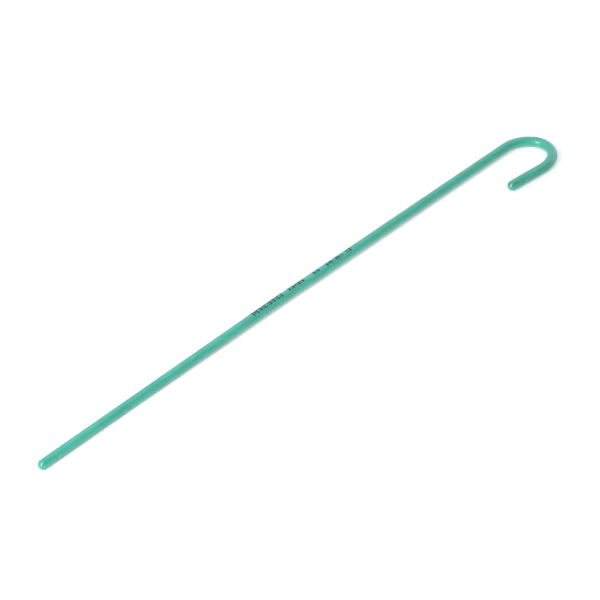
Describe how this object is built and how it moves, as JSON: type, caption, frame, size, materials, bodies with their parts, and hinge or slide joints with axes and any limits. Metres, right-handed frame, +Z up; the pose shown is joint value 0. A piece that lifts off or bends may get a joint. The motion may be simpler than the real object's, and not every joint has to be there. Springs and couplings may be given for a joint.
{
  "type": "malleable intubation stylet",
  "caption": "Slender bendable rod with a soft domed nose, a smooth teal plastic sheath over a malleable metal core, and a J-shaped hook at the hand end.",
  "frame": {"origin": "centre of the soft nose's dome, on the rod's axis, where the full-diameter cylinder begins", "axes": "+X along the straight insertion end, from the nose towards the hook; the hook curls in the XY plane towards -Y; +Z up when the stylet lies flat"},
  "size_m": [0.3034, 0.0288, 0.0046],
  "materials": {
    "sheath_teal": "smooth extruded plastic, glossy, faint draw lines along the length",
    "nose_teal": "soft moulded plastic, satin gloss",
    "plug_teal": "moulded plastic, satin gloss",
    "core_aluminium": "annealed drawn wire, dull with fine draw lines",
    "print_ink": "thin dark pad-printed ink"
  },
  "bodies": {
    "root": {"sheath": "sheath_teal", "malleable_core": "core_aluminium", "soft_nose": "nose_teal", "hook_end_plug": "plug_teal"}
  },
  "joints": []
}
